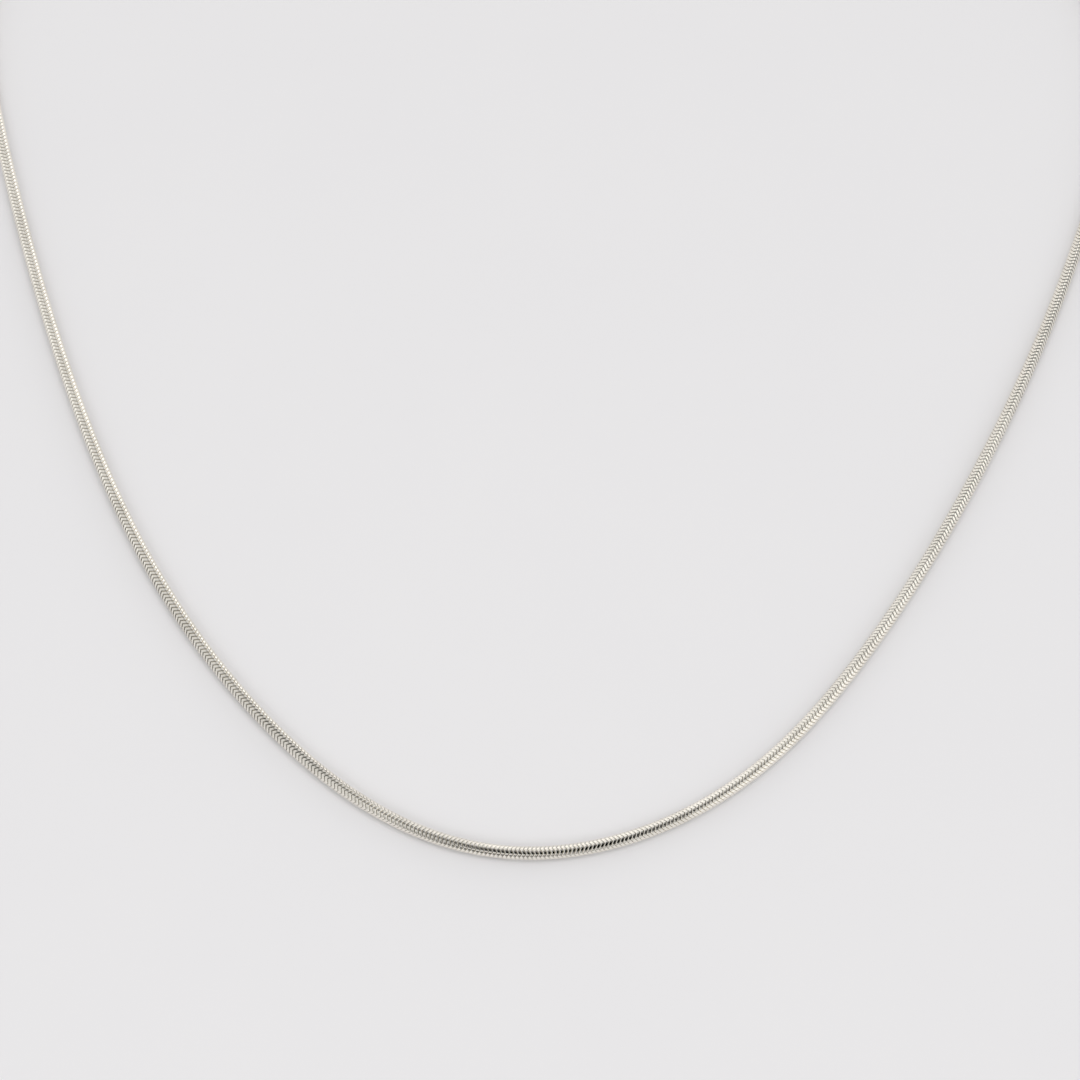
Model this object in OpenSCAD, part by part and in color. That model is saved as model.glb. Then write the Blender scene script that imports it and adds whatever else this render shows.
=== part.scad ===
// Round snake chain necklace, fastened and lying as a closed loop.
// Millimetres. The surface that it lies on is z = 0, +Y runs from the front of the
// loop to the clasp at the back, and the origin is under the middle of the loop.
// The chain is one tube of the links' outer diameter. Its ends sit in two end caps,
// whose soldered loops hang in two leaning jump rings with the clasp between them.

/* [Chain] */
// Diameter over the links
chain_d = 1.5; // [1.2:0.05:1.9]
// Sides of the tube that stands for the links
chain_sides = 8; // [8:2:12]
// Rings of the tube between one route point and the next
rings_per_span = 3; // [2:1:3]

/* [End caps] */
// Length of the capped tube that holds a chain end
cap_length = 6; // [4:0.5:8]
// Wall of the capped tube
cap_wall = 0.25; // [0.2:0.05:0.4]
// Thickness of the closed end
cap_end = 0.8; // [0.6:0.1:1.2]
// Length of the cone between the closed end and the tube
cap_shoulder = 0.6; // [0.3:0.1:1]
// Width of the flat on the closed end
cap_flat_d = 1.3; // [1:0.1:1.6]
// Turn of a cap towards the front of the loop, in degrees
cap_turn = 9; // [6:1:12]
// Wire of the soldered loop
loop_wire = 0.5; // [0.4:0.05:0.7]
// Hole across the soldered loop
loop_hole = 1.8; // [1.6:0.1:2.2]

/* [Jump rings] */
// Wire of both jump rings
ring_wire = 0.5; // [0.4:0.05:0.6]
// Free play of what a jump ring holds
ring_play = 0.6; // [0.5:0.05:0.8]
// Lean of a jump ring away from upright, in degrees
ring_lean = 35; // [25:5:45]

/* [Clasp] */
// Wire of the clasp's ring
clasp_wire = 1.2; // [1:0.1:1.4]
// Hole across the clasp's ring
clasp_hole = 3.8; // [3.2:0.2:4.6]
// Wire of the clasp's eye
eye_wire = 0.5; // [0.4:0.05:0.7]
// Hole across the clasp's eye
eye_hole = 1.8; // [1.6:0.1:2.2]
// Diameter of the thumb stud on the ring
stud_d = 0.9; // [0.6:0.1:1.1]
// Height of the thumb stud over the ring
stud_height = 0.5; // [0.3:0.1:0.8]
// Place of the thumb stud round the ring, in degrees from the catch side
stud_angle = 60; // [40:5:120]

/* [Fit] */
// Clearance between pieces that touch on the real chain
gap = 0.1; // [0.08:0.01:0.15]
// Depth that a soldered wire sinks into what carries it
solder = 0.45; // [0.3:0.05:0.6]
// Height of the clasp's ring over the feet of the jump rings that carry it
clasp_lift = 0.3; // [0.25:0.05:0.4]

/* [Hidden] */
$fn = 48;

silver = [0.78, 0.77, 0.74];
bright_silver = [0.84, 0.83, 0.81];

// Middle of the clasp's ring, seen from above
clasp_at = [0, 77];

// The chain's way round, seen from above, from the left cap by the front to the right
// cap. The points steer a smooth curve that runs close by them.
chain_route = [
    [-39, 69.5], [-61.5, 50], [-68.5, 36], [-70, 26.5], [-69.5, 19],
    [-67.5, 9.5], [-57, -22], [-43.5, -50], [-26.5, -69], [-10, -79],
    [7.5, -79.5], [26.5, -70], [41, -51], [52.5, -30.5], [61.5, -10.5],
    [68.5, 9.5], [70, 19], [70, 29], [65, 44.5], [42, 69]
];

// The caps lie on the surface, and the clasp lies on the two jump rings
chain_z = chain_d / 2;
cap_bore = chain_d + 2 * gap;
cap_d = cap_bore + 2 * cap_wall;
loop_z = cap_d / 2;
clasp_z = ring_wire + clasp_lift + clasp_wire / 2;

loop_out_r = loop_hole / 2 + loop_wire;
eye_out_r = eye_hole / 2 + eye_wire;
clasp_out_r = clasp_hole / 2 + clasp_wire;
eye_offset = clasp_out_r + eye_out_r - solder;
cap_offset = loop_out_r - solder;

// Middle radius of each jump ring, from the two edges that it holds together
link_r = (loop_out_r + eye_out_r + ring_play) / 2;
catch_inset = ring_wire / 2 + ring_play;
catch_r = (catch_inset + clasp_wire + ring_play + loop_out_r) / 2;

// A leaning ring of middle radius r stands on the surface. Its wire crosses the level z
// at this height over, distance along and drift across from the ring's middle.
function ring_z(r) = r * cos(ring_lean) + ring_wire / 2;
function rise(r, z) = (z - ring_z(r)) / cos(ring_lean);
function reach(r, z) = sqrt(r * r - rise(r, z) * rise(r, z));
function drift(r, z) = rise(r, z) * sin(ring_lean);

// Middles of the rings and loops, worked out from the clasp to both sides
eye_at = clasp_at - [eye_offset, 0];
link_at = eye_at - [reach(link_r, clasp_z), drift(link_r, clasp_z)];
left_loop_at = link_at + [-reach(link_r, loop_z), drift(link_r, loop_z)];
catch_cross = clasp_at + [clasp_hole / 2 - catch_inset, 0];
catch_at = catch_cross + [reach(catch_r, clasp_z), -drift(catch_r, clasp_z)];
right_loop_at = catch_at + [reach(catch_r, loop_z), drift(catch_r, loop_z)];

// The chain ends sit against the closed ends and leave the caps straight, so two more
// steering points, a cap's length apart, follow each end on the cap's own line
left_way = [-cos(cap_turn), -sin(cap_turn)];
right_way = [cos(cap_turn), -sin(cap_turn)];
seat_depth = cap_offset + cap_end + gap;
left_seat = left_loop_at + left_way * seat_depth;
right_seat = right_loop_at + right_way * seat_depth;

function at_height(p, z) = [p[0], p[1], z];
steer = concat(
    [for (i = [0 : 2]) at_height(left_seat + i * cap_length * left_way, loop_z)],
    [for (p = chain_route) at_height(p, chain_z)],
    [for (i = [2 : -1 : 0]) at_height(right_seat + i * cap_length * right_way, loop_z)]
);
spans = len(steer) - 1;

// Smooth curve through the steering points: the place and the way at u, which counts
// spans from the left cap. Past each end the first and last spans go straight on.
function steer_at(i) =
    i < 0 ? 2 * steer[0] - steer[1] :
    i > spans ? 2 * steer[spans] - steer[spans - 1] : steer[i];
function blend(a, b, c, d, t) =
    (pow(1 - t, 3) * a + (3 * pow(t, 3) - 6 * t * t + 4) * b
        + (1 + 3 * t + 3 * t * t - 3 * pow(t, 3)) * c + pow(t, 3) * d) / 6;
function blend_way(a, b, c, d, t) =
    (-pow(1 - t, 2) * a + (3 * t * t - 4 * t) * b
        + (1 + 2 * t - 3 * t * t) * c + t * t * d) / 2;
function span_of(u) = min(floor(u), spans - 1);
function route_place(u) = let (i = span_of(u))
    blend(steer_at(i - 1), steer_at(i), steer_at(i + 1), steer_at(i + 2), u - i);
function route_way(u) = let (i = span_of(u))
    blend_way(steer_at(i - 1), steer_at(i), steer_at(i + 1), steer_at(i + 2), u - i);

// Tube of a given diameter along the route
module route_tube(d) {
    rings = spans * rings_per_span;
    points = [
        for (j = [0 : rings])
            let (
                u = j / rings_per_span,
                middle = route_place(u),
                way = route_way(u) / norm(route_way(u)),
                side = cross([0, 0, 1], way) / norm(cross([0, 0, 1], way)),
                up = cross(way, side)
            )
            for (k = [0 : chain_sides - 1])
                let (a = k * 360 / chain_sides)
                middle + d / 2 * (cos(a) * side + sin(a) * up)
    ];
    function at_ring(j, k) = j * chain_sides + k % chain_sides;
    skin = [
        for (j = [0 : rings - 1], k = [0 : chain_sides - 1])
            each [
                [at_ring(j, k), at_ring(j, k + 1), at_ring(j + 1, k + 1)],
                [at_ring(j, k), at_ring(j + 1, k + 1), at_ring(j + 1, k)]
            ]
    ];
    first_end = [for (k = [0 : chain_sides - 1]) at_ring(0, chain_sides - 1 - k)];
    last_end = [for (k = [0 : chain_sides - 1]) at_ring(rings, k)];
    polyhedron(points, concat(skin, [first_end, last_end]), convexity = 10);
}

// Flat wire ring round the origin
module wire_ring(hole, wire) {
    rotate_extrude()
        translate([(hole + wire) / 2, 0])
            circle(d = wire);
}

// Jump ring of middle radius r, leaning on the surface under its place
module leaning_ring(place, r) {
    translate(at_height(place, ring_z(r)))
        rotate([90 - ring_lean, 0, 0])
            wire_ring(2 * r - ring_wire, ring_wire);
}

// Capped tube with its loop round the origin and its mouth towards +X
module end_cap() {
    wire_ring(loop_hole, loop_wire);
    translate([cap_offset, 0, 0])
        rotate([0, 90, 0])
            rotate_extrude()
                polygon([
                    [0, 0], [cap_flat_d / 2, 0], [cap_d / 2, cap_shoulder],
                    [cap_d / 2, cap_length], [cap_bore / 2, cap_length],
                    [cap_bore / 2, cap_end], [0, cap_end]
                ]);
}

module snake_chain() {
    color(silver)
        route_tube(chain_d);
}

module end_cap_left() {
    color(bright_silver)
        translate(at_height(left_loop_at, loop_z))
            rotate(180 + cap_turn)
                end_cap();
}

module end_cap_right() {
    color(bright_silver)
        translate(at_height(right_loop_at, loop_z))
            rotate(-cap_turn)
                end_cap();
}

module jump_ring_left() {
    color(bright_silver)
        leaning_ring(link_at, link_r);
}

module jump_ring_right() {
    color(bright_silver)
        leaning_ring(catch_at, catch_r);
}

// Closed ring clasp with its eye and thumb stud, in one solid
module clasp() {
    stud_foot = clasp_out_r - clasp_wire / 2;
    color(bright_silver)
        translate(at_height(clasp_at, clasp_z)) {
            wire_ring(clasp_hole, clasp_wire);
            translate([-eye_offset, 0, 0])
                wire_ring(eye_hole, eye_wire);
            rotate(stud_angle)
                translate([stud_foot, 0, 0])
                    rotate([0, 90, 0])
                        cylinder(d = stud_d, h = clasp_wire / 2 + stud_height);
        }
}

snake_chain();
end_cap_left();
end_cap_right();
jump_ring_left();
jump_ring_right();
clasp();
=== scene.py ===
"""Round silver snake chain necklace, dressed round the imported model.

The chain is strung from one modelled link, the fastening is modelled ring by ring, and
both lie on a pale sheet under soft light. Sizes are written in millimetres and turned
into metres by MM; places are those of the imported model.
"""
import logging
import math
from dataclasses import dataclass
from enum import Enum
from typing import Any, Callable, Iterable, Sequence

import bpy
from mathutils import Matrix, Vector


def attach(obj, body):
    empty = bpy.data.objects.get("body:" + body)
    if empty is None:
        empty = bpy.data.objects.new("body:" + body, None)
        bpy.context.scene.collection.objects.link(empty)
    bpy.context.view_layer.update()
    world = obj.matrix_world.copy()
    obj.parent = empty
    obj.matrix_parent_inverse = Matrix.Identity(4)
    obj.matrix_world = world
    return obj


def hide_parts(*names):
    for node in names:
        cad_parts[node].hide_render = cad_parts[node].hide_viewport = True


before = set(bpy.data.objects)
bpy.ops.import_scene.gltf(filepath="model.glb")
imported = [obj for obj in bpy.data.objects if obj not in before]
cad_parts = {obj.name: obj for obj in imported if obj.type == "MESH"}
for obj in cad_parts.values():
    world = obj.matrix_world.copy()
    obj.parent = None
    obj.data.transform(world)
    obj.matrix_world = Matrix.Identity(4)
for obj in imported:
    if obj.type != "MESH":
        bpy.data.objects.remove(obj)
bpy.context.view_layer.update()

MM = 0.001
BODY = "root"
# Attribute of the links that is 1 on their sunken rims, where their finish darkens
# them: part tarnish, part painted shade
SEAT = "seat"
# Two places nearer than this, in metres, count as one
SAME_PLACE = 1e-7
# Order of a cubic spline
CUBIC = 4
# Numbers of the Mix node's colour sockets, which share their names with others
MIX_LOW, MIX_HIGH, MIX_RESULT = 6, 7, 2

Colour = tuple[float, float, float]
Point = tuple[float, float, float]

log = logging.getLogger("necklace")


# ---- Shader bench -------------------------------------------------------------------

class Wire:
    """A shader value; arithmetic on it adds the Math nodes that work it out."""

    def __init__(self, bench: "Bench", socket: Any) -> None:
        """Keeps the socket and the bench that it is wired on."""
        self.bench = bench
        self.socket = socket

    def _math(self, operation: str, first: Any, second: Any) -> "Wire":
        """Adds one Math node.

        Args:
            operation: Blender's name of the operation.
            first: Wire or number on the first socket.
            second: Wire or number on the second socket.

        Returns:
            The node's result.
        """
        return self.bench.node(
            "ShaderNodeMath", {"operation": operation}, {0: first, 1: second})

    def __add__(self, other: Any) -> "Wire":
        """Sum."""
        return self._math("ADD", self, other)

    def __radd__(self, other: Any) -> "Wire":
        """Sum, with the number in front."""
        return self._math("ADD", other, self)

    def __mul__(self, other: Any) -> "Wire":
        """Product."""
        return self._math("MULTIPLY", self, other)

    def __rmul__(self, other: Any) -> "Wire":
        """Product, with the number in front."""
        return self._math("MULTIPLY", other, self)

    def at_least(self, floor: float) -> "Wire":
        """This value, or the floor where it is lower."""
        return self._math("MAXIMUM", self, floor)

    def step(self, low: float, high: float) -> "Wire":
        """Smooth step of this value from 0 at low to 1 at high.

        Args:
            low: Value that gives 0.
            high: Value that gives 1; it may be the smaller of the two.

        Returns:
            The stepped value.
        """
        return self.bench.node(
            "ShaderNodeMapRange", {"interpolation_type": "SMOOTHSTEP"},
            {"Value": self, "From Min": low, "From Max": high})


class Bench:
    """Wires the nodes of one material or of the studio's surroundings."""

    def __init__(self, tree: bpy.types.NodeTree) -> None:
        """Clears the tree that is to be wired."""
        self.tree = tree
        tree.nodes.clear()

    def node(self, kind: str, settings: dict[str, Any] | None = None,
             inputs: dict[str | int, Any] | None = None,
             output: str | int = 0) -> Wire:
        """Adds a node, makes its settings, then fills its sockets.

        Args:
            kind: Blender's type name of the node.
            settings: Properties by name.
            inputs: Wires or values by socket name or number.
            output: Name or number of the socket that is wanted.

        Returns:
            The wanted output as a wire.
        """
        made = self.tree.nodes.new(kind)
        for name, value in (settings or {}).items():
            setattr(made, name, value)
        for name, value in (inputs or {}).items():
            if isinstance(value, Wire):
                self.tree.links.new(value.socket, made.inputs[name])
            else:
                made.inputs[name].default_value = value
        return Wire(self, made.outputs[output] if made.outputs else None)

    def blend(self, low: Any, high: Any, share: Any) -> Wire:
        """Mixes two colours.

        Args:
            low: Colour or wire where the share is 0.
            high: Colour or wire where the share is 1.
            share: Number or wire.

        Returns:
            The mixed colour.
        """
        sockets = {"Factor": share, MIX_LOW: _rgba(low), MIX_HIGH: _rgba(high)}
        return self.node("ShaderNodeMix", {"data_type": "RGBA"}, sockets,
                         output=MIX_RESULT)

    def noise(self, place: Wire, size_mm: float, detail: float) -> Wire:
        """Adds cloudy noise.

        Args:
            place: Coordinates that it follows.
            size_mm: Size of its clouds.
            detail: Levels of finer noise on them.

        Returns:
            The noise, between 0 and 1.
        """
        return self.node("ShaderNodeTexNoise", inputs={
            "Vector": place, "Scale": 1 / (size_mm * MM), "Detail": detail})


def _rgba(colour: Any) -> Any:
    """A plain colour with its alpha; a wire is passed on."""
    return colour if isinstance(colour, Wire) else (*colour, 1)


# ---- Finishes -----------------------------------------------------------------------

class Polish(Enum):
    """How far a metal surface is polished, as its roughness."""

    ROLLED = 0.09
    BUFFED = 0.10


def start_material(name: str) -> tuple[bpy.types.Material, Bench, Wire]:
    """Starts a material.

    Args:
        name: Its name.

    Returns:
        The material, its bench, and the piece's own coordinates as a wire.
    """
    material = bpy.data.materials.new(name)
    material.use_nodes = True
    bench = Bench(material.node_tree)
    return material, bench, bench.node("ShaderNodeTexCoord", output="Object")


@dataclass(frozen=True)
class SilverFinish:
    """Polished silver with a duller, darker skin where no cloth reaches: part tarnish,
    part painted shade in the grooves.
    """

    name: str
    polish: Polish
    # Attribute that is 1 where the surface lies out of the cloth's reach, if any; the
    # skin there gets tarnish and painted shade
    seat: str = ""
    bright: Colour = (0.94, 0.90, 0.82)
    # Colour of the random haze, and of the tarnish and painted shade on the sunken
    # rims
    dull_and_shade: Colour = (0.28, 0.25, 0.19)
    dull_roughness: float = 0.22
    # Clouds of haze: where in the noise they begin and are full, and how dull they get
    cloud_mm: float = 2.5
    cloud_detail: float = 2.0
    cloud_range: tuple[float, float] = (0.42, 0.72)
    cloud_share: float = 0.10
    # The same for the skin out of the cloth's reach, over the attribute: tarnish and
    # painted shade on the sunken rims
    rim_tarnish_and_shade_range: tuple[float, float] = (0.3, 1.0)
    rim_tarnish_and_shade_share: float = 0.45
    # Fine grain, in the surface's height and in its roughness
    grain_mm: float = 0.09
    grain_detail: float = 1.0
    grain_strength: float = 0.15
    grain_depth_mm: float = 0.002
    grain_roughness: float = 0.02

    def make(self) -> bpy.types.Material:
        """Wires the finish.

        Returns:
            The new material.
        """
        material, bench, spot = start_material(self.name)
        cloud = bench.noise(spot, self.cloud_mm, self.cloud_detail)
        grain = bench.noise(spot, self.grain_mm, self.grain_detail)
        haze_and_rim_shade = cloud.step(*self.cloud_range) * self.cloud_share
        # Painted shade with tarnish: the sunken rims between links are darkened and
        # dulled
        if self.seat:
            depth = bench.node("ShaderNodeAttribute", {"attribute_name": self.seat},
                               output="Fac")
            haze_and_rim_shade = haze_and_rim_shade + depth.step(*self.rim_tarnish_and_shade_range) * self.rim_tarnish_and_shade_share
        normal = bench.node("ShaderNodeBump", inputs={
            "Strength": self.grain_strength,
            "Distance": self.grain_depth_mm * MM,
            "Height": grain})
        roughness = (self.polish.value + haze_and_rim_shade * self.dull_roughness
                     + grain * self.grain_roughness)
        surface = bench.node("ShaderNodeBsdfPrincipled", inputs={
            "Base Color": bench.blend(self.bright, self.dull_and_shade, haze_and_rim_shade),
            "Metallic": 1.0,
            "Roughness": roughness,
            "Normal": normal})
        bench.node("ShaderNodeOutputMaterial", inputs={"Surface": surface})
        return material


@dataclass(frozen=True)
class SheetFinish:
    """Matt pale sheet with a barely seen unevenness."""

    name: str = "pale_sheet"
    light: Colour = (0.80, 0.79, 0.795)
    shade: Colour = (0.785, 0.775, 0.785)
    cloud_mm: float = 25.0
    cloud_detail: float = 3.0
    roughness: float = 0.95
    specular: float = 0.1

    def make(self) -> bpy.types.Material:
        """Wires the finish.

        Returns:
            The new material.
        """
        material, bench, spot = start_material(self.name)
        cloud = bench.noise(spot, self.cloud_mm, self.cloud_detail)
        surface = bench.node("ShaderNodeBsdfPrincipled", inputs={
            "Base Color": bench.blend(self.light, self.shade, cloud),
            "Roughness": self.roughness,
            "Specular IOR Level": self.specular})
        bench.node("ShaderNodeOutputMaterial", inputs={"Surface": surface})
        return material


# ---- Hand tools ---------------------------------------------------------------------

def put_down() -> None:
    """Leaves edit mode and deselects everything."""
    if bpy.context.object and bpy.context.object.mode != "OBJECT":
        bpy.ops.object.mode_set(mode="OBJECT")
    bpy.ops.object.select_all(action="DESELECT")


def take(piece: bpy.types.Object) -> None:
    """Makes one piece the only selected and the active one.

    Args:
        piece: The piece to take in hand.
    """
    put_down()
    piece.select_set(True)
    bpy.context.view_layer.objects.active = piece


def pick(piece: bpy.types.Object, wanted: Callable[[Vector], bool],
         part: str = "VERT") -> None:
    """Selects in edit mode what lies where it is wanted.

    Args:
        piece: The piece in hand.
        wanted: Says of a place, in the piece's own frame, whether it is wanted.
        part: VERT, or EDGE, which is judged by the edge's middle.
    """
    bpy.ops.object.mode_set(mode="OBJECT")
    mesh = piece.data
    for kind in (mesh.vertices, mesh.edges, mesh.polygons):
        kind.foreach_set("select", [False] * len(kind))
    if part == "VERT":
        for vertex in mesh.vertices:
            vertex.select = wanted(vertex.co)
    else:
        for edge in mesh.edges:
            start, end = (mesh.vertices[i].co for i in edge.vertices)
            edge.select = wanted((start + end) / 2)
    bpy.ops.object.mode_set(mode="EDIT")
    bpy.ops.mesh.select_mode(type=part)


def settle(piece: bpy.types.Object) -> None:
    """Puts the piece's place, turn and size into its mesh."""
    take(piece)
    bpy.ops.object.transform_apply(location=True, rotation=True, scale=True)


def apply_all(piece: bpy.types.Object) -> None:
    """Applies the piece's modifiers in their order.

    Args:
        piece: The piece that carries them.
    """
    take(piece)
    for name in [modifier.name for modifier in piece.modifiers]:
        bpy.ops.object.modifier_apply(modifier=name)


def copy_of(piece: bpy.types.Object) -> bpy.types.Object:
    """Copies a piece.

    Args:
        piece: The piece to copy.

    Returns:
        The copy, with a mesh of its own.
    """
    take(piece)
    bpy.ops.object.duplicate(linked=False)
    return bpy.context.object


def hand_over(piece: bpy.types.Object, name: str, material: bpy.types.Material,
              nodes: Iterable[str]) -> None:
    """Names and dresses a finished piece, hangs it on the body and hides the solids
    that it stands for.

    Args:
        piece: The finished piece.
        name: Its name.
        material: Its finish.
        nodes: The solids that it stands for.
    """
    piece.name = name
    piece.data.name = name
    piece.data.materials.clear()
    piece.data.materials.append(material)
    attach(piece, BODY)
    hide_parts(*nodes)
    log.info("%s: %d faces", name, len(piece.data.polygons))


# ---- Chain --------------------------------------------------------------------------

@dataclass(frozen=True)
class ChainRoute:
    """The chain's way round, by the same steering points as the solid's."""

    loop_z: float = 1.1
    chain_z: float = 0.75
    cap_length: float = 6.0
    cap_turn: float = 9.0
    left_seat: tuple[float, float] = (-9.1169, 76.5005)
    right_seat: tuple[float, float] = (6.5726, 76.5005)
    points: tuple[tuple[float, float], ...] = (
        (-39, 69.5), (-61.5, 50), (-68.5, 36), (-70, 26.5), (-69.5, 19),
        (-67.5, 9.5), (-57, -22), (-43.5, -50), (-26.5, -69), (-10, -79),
        (7.5, -79.5), (26.5, -70), (41, -51), (52.5, -30.5), (61.5, -10.5),
        (68.5, 9.5), (70, 19), (70, 29), (65, 44.5), (42, 69))
    # Turn of the links about the chain at each of the points above, in degrees
    turns: tuple[float, ...] = (
        178, 178, 178, 178, 178,
        176, 172, 168, 166, 134,
        92, 60, 75, 95, 110,
        115, 120, 120, 120, 120)
    # Steering points on each cap's own line, and steps of the guide between two points
    points_per_cap: int = 3
    guide_steps: int = 40

    def _cap_points(self, seat: tuple[float, float], side: float) -> list[Point]:
        """Sets the steering points on a cap's own line.

        Args:
            seat: Where the chain ends in the cap.
            side: -1 for the left cap, 1 for the right one.

        Returns:
            The points, from the cap's closed end outwards.
        """
        turn = math.radians(self.cap_turn)
        way = (side * math.cos(turn), -math.sin(turn))
        return [(seat[0] + i * self.cap_length * way[0],
                 seat[1] + i * self.cap_length * way[1], self.loop_z)
                for i in range(self.points_per_cap)]

    def draw(self) -> bpy.types.Object:
        """Draws the route as a guide curve, with the links' turn in its tilt.

        Returns:
            The guide, to be thrown away after use.
        """
        left = self._cap_points(self.left_seat, -1)
        right = self._cap_points(self.right_seat, 1)[::-1]
        points = left + [(x, y, self.chain_z) for x, y in self.points] + right
        held = self.points_per_cap
        turns = [self.turns[0]] * held + [*self.turns] + [self.turns[-1]] * held
        first = [2 * a - b for a, b in zip(points[0], points[1])]
        last = [2 * a - b for a, b in zip(points[-1], points[-2])]
        points = [first] + points + [last]
        turns = [turns[0]] + turns + [turns[-1]]
        curve = bpy.data.curves.new("guide", "CURVE")
        curve.dimensions = "3D"
        curve.twist_mode = "Z_UP"
        curve.resolution_u = self.guide_steps
        spline = curve.splines.new("NURBS")
        spline.points.add(len(points) - 1)
        for point, spot, turn in zip(spline.points, points, turns):
            point.co = (*(c * MM for c in spot), 1)
            point.tilt = math.radians(turn)
        spline.order_u = CUBIC
        spline.use_endpoint_u = False
        guide = bpy.data.objects.new("guide", curve)
        bpy.context.collection.objects.link(guide)
        return guide


@dataclass
class SnakeChain:
    """Round snake chain: waved plate rings strung close behind each other."""

    route: ChainRoute
    finish: SilverFinish
    diameter: float = 1.5
    pitch: float = 0.461
    links: int = 956
    # Faces round a link, waves round it, and their height along the chain
    sides: int = 16
    waves: int = 4
    wave_height: float = 0.18
    # A link's width as a share of the pitch, and its crest's as a share of that
    width_share: float = 0.95
    crest_share: float = 0.62
    # How far a link's rims lie under its crest
    rim_depth: float = 0.068
    # Way of the first link from the guide's start
    start: float = 0.55
    # Angle in degrees past which an edge of a link stays sharp
    crease: float = 32.0
    # Digits to which two heights of the waves count as the same
    level_digits: int = 3

    def model_link(self) -> bpy.types.Object:
        """Models one link round the X axis: a ring of rounded section, then its waves.

        Returns:
            The link, with the SEAT attribute.
        """
        crest = self.diameter / 2
        rim = crest - self.rim_depth
        rim_x = self.pitch * self.width_share / 2
        crest_x = self.pitch * self.width_share * self.crest_share / 2
        put_down()
        bpy.ops.mesh.primitive_circle_add(
            vertices=self.sides, radius=rim * MM,
            location=(-rim_x * MM, 0, 0), rotation=(0, math.pi / 2, 0))
        link = bpy.context.object
        settle(link)
        bpy.ops.object.mode_set(mode="EDIT")
        bpy.ops.mesh.select_all(action="SELECT")
        profile = [(-rim_x, rim), (-crest_x, crest), (crest_x, crest), (rim_x, rim)]
        for (x0, r0), (x1, r1) in zip(profile, profile[1:]):
            bpy.ops.mesh.extrude_edges_move(
                TRANSFORM_OT_translate={"value": ((x1 - x0) * MM, 0, 0)})
            bpy.ops.transform.resize(value=(1, r1 / r0, r1 / r0))
        pick(link, lambda co: abs(abs(co.x) - rim_x * MM) < SAME_PLACE, "EDGE")
        bpy.ops.mesh.bridge_edge_loops()
        bpy.ops.mesh.select_all(action="SELECT")
        bpy.ops.mesh.normals_make_consistent(inside=False)
        self._wave(link)
        put_down()
        seat = link.data.attributes.new(SEAT, "FLOAT", "POINT")
        for item, vertex in zip(seat.data, link.data.vertices):
            radius = math.hypot(vertex.co.y, vertex.co.z)
            item.value = (crest * MM - radius) / (self.rim_depth * MM)
        take(link)
        bpy.ops.object.shade_smooth_by_angle(angle=math.radians(self.crease))
        return link

    def _wave(self, link: bpy.types.Object) -> None:
        """Shifts the ring's sides along the chain, in waves that start forwards at Y.

        Args:
            link: The link, still without its waves.
        """
        def height(co: Vector) -> float:
            """Share of the wave's height at a place."""
            turn = math.atan2(co.z, co.y)
            return round(math.cos(self.waves * turn), self.level_digits)

        for level in sorted({height(v.co) for v in link.data.vertices}):
            pick(link, lambda co, level=level: height(co) == level)
            bpy.ops.transform.translate(value=(level * self.wave_height * MM, 0, 0))

    def string(self) -> None:
        """Copies the link along the route and hands over the whole chain."""
        link = self.model_link()
        guide = self.route.draw()
        take(link)
        bpy.ops.transform.translate(value=(self.start * MM, 0, 0))
        settle(link)
        row = link.modifiers.new("row", "ARRAY")
        row.fit_type = "FIXED_COUNT"
        row.count = self.links
        row.use_relative_offset = False
        row.use_constant_offset = True
        row.constant_offset_displace = (self.pitch * MM, 0, 0)
        bend = link.modifiers.new("bend", "CURVE")
        bend.object = guide
        bend.deform_axis = "POS_X"
        apply_all(link)
        bpy.data.objects.remove(guide)
        hand_over(link, "chain_links", self.finish.make(),
                  ["snake_chain"])


# ---- Fastening ----------------------------------------------------------------------

def spun_wire(radius: float, wire: float, steps: int, sides: int,
              seam: float = 0.0) -> bpy.types.Object:
    """Bends round wire into a flat ring about the Z axis.

    Args:
        radius: Middle radius of the ring.
        wire: Diameter of the wire.
        steps: Sections round the ring.
        sides: Sides of the wire.
        seam: Width of the butt seam that is left open; 0 closes the ring.

    Returns:
        The ring, as one closed skin.
    """
    put_down()
    bpy.ops.mesh.primitive_circle_add(
        vertices=sides, radius=wire / 2 * MM, fill_type="NGON" if seam else "NOTHING",
        location=(radius * MM, 0, 0), rotation=(math.pi / 2, 0, 0))
    ring = bpy.context.object
    settle(ring)
    bpy.ops.object.mode_set(mode="EDIT")
    bpy.ops.mesh.select_all(action="SELECT")
    bpy.ops.mesh.spin(steps=steps, angle=2 * math.pi - seam / radius,
                      center=(0, 0, 0), axis=(0, 0, 1))
    close_skin()
    return ring


def close_skin() -> None:
    """Merges doubles and turns every face outwards, in edit mode, then leaves it."""
    bpy.ops.mesh.select_all(action="SELECT")
    bpy.ops.mesh.remove_doubles(threshold=SAME_PLACE)
    bpy.ops.mesh.normals_make_consistent(inside=False)
    bpy.ops.object.mode_set(mode="OBJECT")


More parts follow.
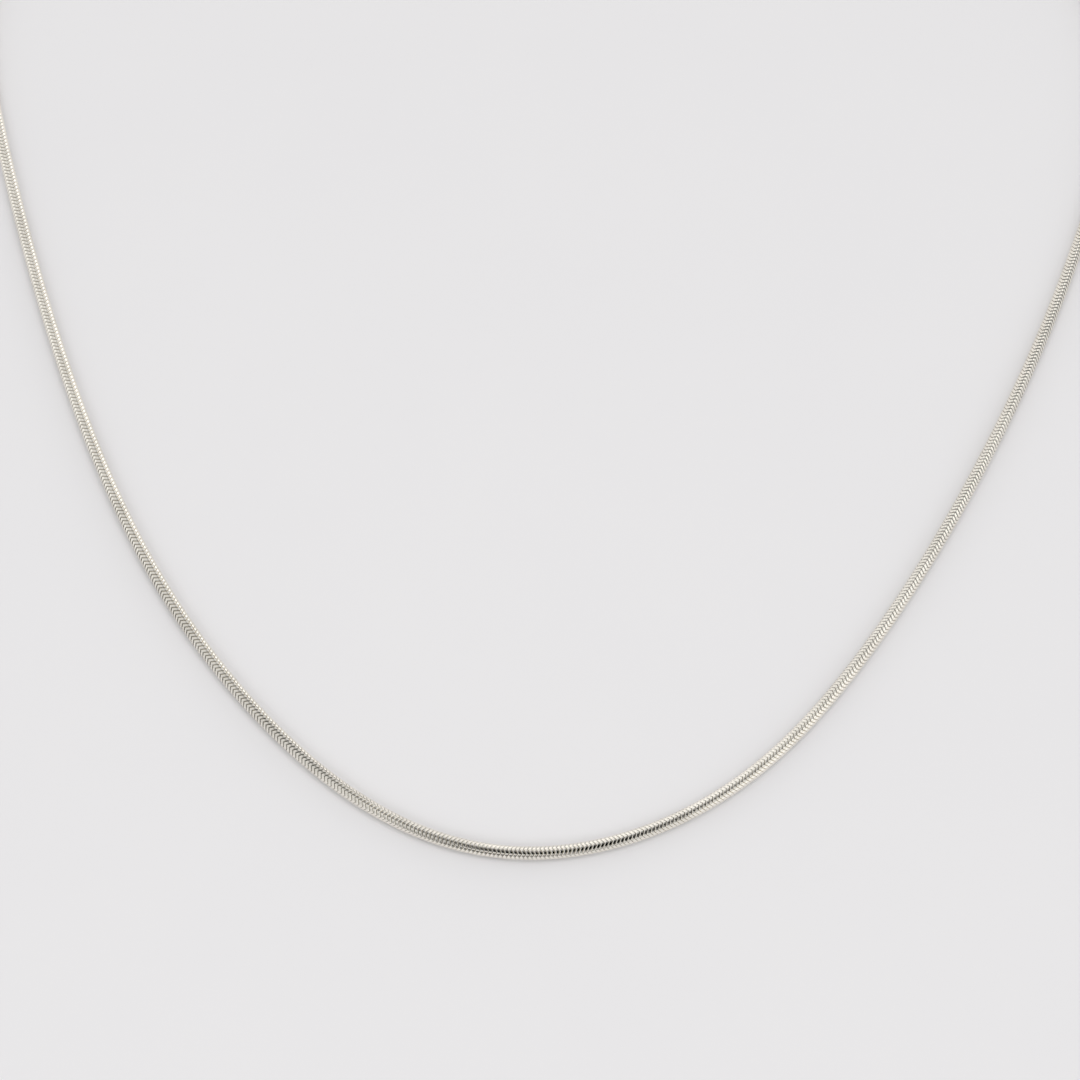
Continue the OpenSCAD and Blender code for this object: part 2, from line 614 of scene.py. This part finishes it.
def turned(outline: Sequence[tuple[float, float]], sides: int) -> bpy.types.Object:
    """Turns a solid about the X axis by extruding its first round end.

    Args:
        outline: Places along X and radii, from one end round to the other.
        sides: Sides of the solid.

    Returns:
        The solid, closed at both ends.
    """
    put_down()
    (x0, r0), *rest = outline
    bpy.ops.mesh.primitive_circle_add(
        vertices=sides, radius=r0 * MM, fill_type="NGON",
        location=(x0 * MM, 0, 0), rotation=(0, math.pi / 2, 0))
    solid = bpy.context.object
    settle(solid)
    bpy.ops.object.mode_set(mode="EDIT")
    bpy.ops.mesh.select_all(action="SELECT")
    for x1, r1 in rest:
        bpy.ops.mesh.extrude_region_move(
            TRANSFORM_OT_translate={"value": ((x1 - x0) * MM, 0, 0)})
        bpy.ops.transform.resize(value=(1, r1 / r0, r1 / r0))
        x0, r0 = x1, r1
    close_skin()
    return solid


def weld(pieces: Sequence[bpy.types.Object]) -> bpy.types.Object:
    """Unites soldered pieces into the first of them.

    Args:
        pieces: Closed pieces that run into each other.

    Returns:
        The first piece, with the others in its skin.
    """
    body, *others = pieces
    for other in others:
        joint = body.modifiers.new("solder", "BOOLEAN")
        joint.operation = "UNION"
        joint.solver = "EXACT"
        joint.object = other
        apply_all(body)
        bpy.data.objects.remove(other)
    return body


def move_to(piece: bpy.types.Object, at: Point, turn: Point = (0, 0, 0)) -> None:
    """Moves a piece from the origin to its place, turned about its own middle first.

    Args:
        piece: The piece, modelled about the origin.
        at: Its place in millimetres.
        turn: Its turn about X, Y and Z, in degrees.
    """
    take(piece)
    piece.rotation_euler = [math.radians(a) for a in turn]
    piece.location = [c * MM for c in at]
    settle(piece)


def polish(piece: bpy.types.Object, rounding: float = 0, steps: int = 2,
           crease: float = 35) -> None:
    """Rounds a piece's edges a little and smooths the rest.

    Args:
        piece: The piece.
        rounding: Width of the rounding, in millimetres; 0 leaves the edges.
        steps: Faces across the rounding.
        crease: Angle in degrees past which an edge is rounded and stays sharp.
    """
    if rounding:
        edge = piece.modifiers.new("edge", "BEVEL")
        edge.width = rounding * MM
        edge.segments = steps
        edge.limit_method = "ANGLE"
        edge.angle_limit = math.radians(crease)
        apply_all(piece)
    take(piece)
    bpy.ops.object.shade_smooth_by_angle(angle=math.radians(crease))


@dataclass(frozen=True)
class FittingSizes:
    """The solids' sizes of the fastening, and the places that follow from them."""

    loop_wire: float = 0.5
    loop_hole: float = 1.8
    cap_length: float = 6.0
    cap_end: float = 0.8
    cap_shoulder: float = 0.6
    cap_flat_d: float = 1.3
    cap_bore: float = 1.7
    cap_d: float = 2.2
    cap_turn: float = 9.0
    ring_wire: float = 0.5
    ring_play: float = 0.6
    ring_lean: float = 35.0
    clasp_wire: float = 1.2
    clasp_hole: float = 3.8
    eye_wire: float = 0.5
    eye_hole: float = 1.8
    stud_d: float = 0.9
    stud_height: float = 0.5
    stud_angle: float = 60.0
    solder: float = 0.45
    clasp_lift: float = 0.3
    clasp_at: tuple[float, float] = (0.0, 77.0)

    @property
    def loop_out(self) -> float:
        """Outer radius of a soldered loop."""
        return self.loop_hole / 2 + self.loop_wire

    @property
    def clasp_out(self) -> float:
        """Outer radius of the clasp's ring."""
        return self.clasp_hole / 2 + self.clasp_wire

    @property
    def eye_offset(self) -> float:
        """Distance from the clasp's middle to its eye's."""
        return self.clasp_out + self.eye_hole / 2 + self.eye_wire - self.solder

    @property
    def loop_z(self) -> float:
        """Height of the caps' axis."""
        return self.cap_d / 2

    @property
    def clasp_z(self) -> float:
        """Height of the clasp's middle plane."""
        return self.ring_wire + self.clasp_lift + self.clasp_wire / 2

    @property
    def link_r(self) -> float:
        """Middle radius of the left jump ring."""
        return (self.loop_out + self.eye_hole / 2 + self.eye_wire + self.ring_play) / 2

    @property
    def catch_r(self) -> float:
        """Middle radius of the right jump ring."""
        return (self.ring_wire / 2 + self.ring_play + self.clasp_wire + self.ring_play
                + self.loop_out) / 2

    def ring_z(self, radius: float) -> float:
        """Height of a leaning ring's middle."""
        return radius * math.cos(math.radians(self.ring_lean)) + self.ring_wire / 2

    def crossing(self, radius: float, z: float) -> tuple[float, float]:
        """Where a leaning ring's wire crosses a height.

        Args:
            radius: Middle radius of the ring.
            z: The height.

        Returns:
            Distance along and drift across from the ring's middle.
        """
        lean = math.radians(self.ring_lean)
        rise = (z - self.ring_z(radius)) / math.cos(lean)
        return math.sqrt(radius ** 2 - rise ** 2), rise * math.sin(lean)

    def places(self) -> dict[str, Point]:
        """Works out the places of the pieces, from the clasp to both sides.

        Returns:
            Middles of the caps' loops, of the jump rings and of the clasp.
        """
        x, y = self.clasp_at
        out, across = self.crossing(self.link_r, self.clasp_z)
        link = (x - self.eye_offset - out, y - across)
        out, across = self.crossing(self.link_r, self.loop_z)
        left = (link[0] - out, link[1] + across)
        out, across = self.crossing(self.catch_r, self.clasp_z)
        catch = (x + self.clasp_hole / 2 - self.ring_wire / 2 - self.ring_play + out,
                 y - across)
        out, across = self.crossing(self.catch_r, self.loop_z)
        right = (catch[0] + out, catch[1] + across)
        return {"left_loop": (*left, self.loop_z), "right_loop": (*right, self.loop_z),
                "left_ring": (*link, self.ring_z(self.link_r)),
                "right_ring": (*catch, self.ring_z(self.catch_r)),
                "clasp": (x, y, self.clasp_z)}


@dataclass
class Fastening:
    """End caps, jump rings and clasp, in the form and place of their solids."""

    finish: SilverFinish
    sizes: FittingSizes = FittingSizes()
    slot: str = "fitting_silver"
    # Sections round a ring and sides of its wire: loops and eye, jump rings, clasp
    loop_faces: tuple[int, int] = (36, 14)
    ring_faces: tuple[int, int] = (44, 14)
    clasp_faces: tuple[int, int] = (56, 24)
    tube_sides: int = 32
    stud_sides: int = 20
    tube_rounding: float = 0.06
    stud_rounding: float = 0.12
    # Width of the butt seam where a jump ring's wire meets itself
    seam: float = 0.03

    def model_cap(self) -> bpy.types.Object:
        """Models a capped tube with its soldered loop.

        Returns:
            The cap, with its loop round the origin and its mouth towards +X.
        """
        s = self.sizes
        foot = s.loop_out - s.solder
        outline = [(0, s.cap_flat_d / 2), (s.cap_shoulder, s.cap_d / 2),
                   (s.cap_length, s.cap_d / 2), (s.cap_length, s.cap_bore / 2),
                   (s.cap_end, s.cap_bore / 2)]
        tube = turned([(foot + x, r) for x, r in outline], self.tube_sides)
        polish(tube, self.tube_rounding)
        loop = spun_wire((s.loop_hole + s.loop_wire) / 2, s.loop_wire,
                         *self.loop_faces)
        cap = weld([tube, loop])
        polish(cap)
        return cap

    def model_ring(self, radius: float) -> bpy.types.Object:
        """Models a jump ring with its butt seam.

        Args:
            radius: Middle radius of the ring.

        Returns:
            The ring, flat round the origin.
        """
        ring = spun_wire(radius, self.sizes.ring_wire, *self.ring_faces, self.seam)
        polish(ring)
        return ring

    def model_clasp(self) -> bpy.types.Object:
        """Models the closed ring with its eye and its thumb stud.

        Returns:
            The clasp, flat, with its ring round the origin.
        """
        s = self.sizes
        ring = spun_wire((s.clasp_hole + s.clasp_wire) / 2, s.clasp_wire,
                         *self.clasp_faces)
        eye = spun_wire((s.eye_hole + s.eye_wire) / 2, s.eye_wire, *self.loop_faces)
        move_to(eye, (-s.eye_offset, 0, 0))
        top = s.clasp_out + s.stud_height
        stud = turned([(s.clasp_out - s.clasp_wire / 2, s.stud_d / 2),
                       (top, s.stud_d / 2)], self.stud_sides)
        polish(stud, self.stud_rounding)
        move_to(stud, (0, 0, 0), (0, 0, s.stud_angle))
        clasp = weld([ring, eye, stud])
        polish(clasp)
        return clasp

    def fit(self) -> None:
        """Models every piece of the fastening and puts it in its place."""
        s = self.sizes
        at = s.places()
        material = self.finish.make()
        upright = 90 - s.ring_lean
        cap = self.model_cap()
        made = {
            "cap_left": (cap, at["left_loop"], (0, 0, 180 + s.cap_turn),
                         "end_cap_left"),
            "cap_right": (copy_of(cap), at["right_loop"], (0, 0, -s.cap_turn),
                          "end_cap_right"),
            "ring_left": (self.model_ring(s.link_r), at["left_ring"],
                          (upright, 0, 0), "jump_ring_left"),
            "ring_right": (self.model_ring(s.catch_r), at["right_ring"],
                           (upright, 0, 0), "jump_ring_right"),
            "ring_clasp": (self.model_clasp(), at["clasp"], (0, 0, 0), "clasp")}
        for name, (piece, where, turn, node) in made.items():
            move_to(piece, where, turn)
            hand_over(piece, name, material, [node])


# ---- Studio -------------------------------------------------------------------------

@dataclass(frozen=True)
class Patch:
    """Soft round patch in the surrounding light; a strength below 0 darkens."""

    name: str
    # Its way from the necklace, to the right, to the back and up
    way: Point
    strength: float
    # Angle in degrees from its middle to its edge
    spread: float


@dataclass(frozen=True)
class Lamp:
    """Soft round lamp that lights the sheet and isn't mirrored in the links."""

    name: str
    place_m: Point
    size_m: float
    power: float


@dataclass
class Studio:
    """Pale sheet, soft light with brighter and darker patches, and the camera."""

    sheet: SheetFinish
    # Surrounding light that reaches the necklace from every side
    light_level: float = 0.70
    light_colour: Colour = (1.0, 1.0, 1.0)
    patches: tuple[Patch, ...] = (
        Patch("above", (0.05, 0.0, 1.0), -0.62, 20),
        Patch("over_front_right", (0.35, -0.03, 0.94), -0.40, 12),
        Patch("over_camera", (0.12, -0.30, 0.95), -0.45, 18),
        Patch("front_low", (0.18, -0.56, 0.81), -0.70, 25),
        Patch("front_strip", (0.02, -0.68, 0.73), 0.8, 15),
        Patch("front_left", (-0.23, -0.80, 0.56), -0.35, 27),
        Patch("front", (0.05, -0.96, 0.28), -0.35, 34),
        Patch("over_back", (0.05, 0.38, 0.92), -0.35, 14),
        Patch("over_right", (0.30, 0.33, 0.90), 0.50, 15),
        Patch("left_back", (-0.18, 0.56, 0.81), 0.23, 22),
        Patch("right_strip", (0.64, 0.0, 0.77), 0.55, 17),
        Patch("right_gap", (0.62, 0.45, 0.64), -0.70, 14),
        Patch("back_gap", (0.42, 0.80, 0.43), -0.70, 14),
        Patch("right_back", (0.74, 0.64, 0.21), 0.68, 32),
        Patch("right_front", (0.89, -0.41, 0.21), 0.37, 32),
        Patch("left", (-0.97, 0.14, 0.21), 0.32, 32),
        Patch("back_left", (-0.28, 0.94, 0.21), 0.37, 32),
        Patch("back", (0.28, 0.94, 0.21), 0.21, 32))
    lamps: tuple[Lamp, ...] = (
        Lamp("overhead", (0.05, 0.0, 1.0), 0.8, 2.7),
        Lamp("front_left", (-0.4, -0.6, 0.65), 0.6, 1.2),
        Lamp("front_right", (0.55, -0.45, 0.65), 0.6, 0.6))
    sheet_size_m: float = 8.0
    camera_mm: Point = (-10.35, -142.4, 278.28)
    look: Point = (0.03791903, 0.33991164, -0.93969262)
    up: Point = (-0.05257104, 0.93974526, 0.33780931)
    lens_mm: float = 85.33
    sensor_mm: float = 36.0
    clip_start_m: float = 0.01
    clip_end_m: float = 50.0

    def lay_sheet(self) -> None:
        """Lays the sheet that the necklace lies on."""
        put_down()
        bpy.ops.mesh.primitive_plane_add(size=self.sheet_size_m)
        floor = bpy.context.object
        floor.name = "sheet"
        floor.data.materials.append(self.sheet.make())

    def set_camera(self) -> None:
        """Sets the camera where the photograph was taken from."""
        back = -Vector(self.look).normalized()
        right = Vector(self.up).cross(back).normalized()
        up = back.cross(right)
        put_down()
        bpy.ops.object.camera_add()
        camera = bpy.context.object
        turn = Matrix((right, up, back)).transposed().to_4x4()
        camera.matrix_world = Matrix.Translation(Vector(self.camera_mm) * MM) @ turn
        camera.data.sensor_width = self.sensor_mm
        camera.data.lens = self.lens_mm
        camera.data.clip_start = self.clip_start_m
        camera.data.clip_end = self.clip_end_m
        bpy.context.scene.camera = camera

    def light(self) -> None:
        """Wires the surrounding light and hangs the lamps."""
        world = bpy.data.worlds.new("soft_light")
        bpy.context.scene.world = world
        world.use_nodes = True
        bench = Bench(world.node_tree)
        way = bench.node("ShaderNodeTexCoord", output="Generated")
        parts = bench.node("ShaderNodeSeparateXYZ", inputs={0: way})
        axes = [Wire(bench, axis) for axis in parts.socket.node.outputs]
        glow = sum((self._glow(axes, patch) for patch in self.patches),
                   self.light_level)
        sky = bench.node("ShaderNodeBackground", inputs={
            "Color": (*self.light_colour, 1), "Strength": glow.at_least(0.0)})
        bench.node("ShaderNodeOutputWorld", inputs={"Surface": sky})
        for lamp in self.lamps:
            self._hang(lamp)

    def _glow(self, axes: Sequence[Wire], patch: Patch) -> Wire:
        """Works out what one patch adds to the surrounding light.

        Args:
            axes: The three parts of the direction that the light comes from.
            patch: The patch.

        Returns:
            Its strength in that direction, below 0 where it darkens.
        """
        x, y, z = axes
        middle = Vector(patch.way).normalized()
        near = x * middle.x + y * middle.y + z * middle.z
        share = near.step(math.cos(math.radians(patch.spread)), 1.0)
        share.socket.node.label = patch.name
        return share * patch.strength

    def _hang(self, lamp: Lamp) -> None:
        """Hangs one lamp that faces the necklace.

        Args:
            lamp: The lamp.
        """
        put_down()
        bpy.ops.object.light_add(type="AREA", location=lamp.place_m)
        hung = bpy.context.object
        hung.name = lamp.name
        hung.rotation_mode = "QUATERNION"
        hung.rotation_quaternion = Vector(lamp.place_m).to_track_quat("Z", "Y")
        hung.data.shape = "DISK"
        hung.data.size = lamp.size_m
        hung.data.energy = lamp.power
        hung.visible_glossy = False


def main() -> None:
    """Builds the studio and the necklace."""
    logging.basicConfig(level=logging.INFO, format="%(name)s: %(message)s")
    view = bpy.context.scene.view_settings
    view.view_transform = "Standard"
    view.look = "None"
    studio = Studio(SheetFinish())
    studio.set_camera()
    studio.lay_sheet()
    studio.light()
    SnakeChain(ChainRoute(), SilverFinish("link_silver", Polish.ROLLED, SEAT)).string()
    Fastening(SilverFinish("fitting_silver", Polish.BUFFED)).fit()


if __name__ == "__main__":
    main()
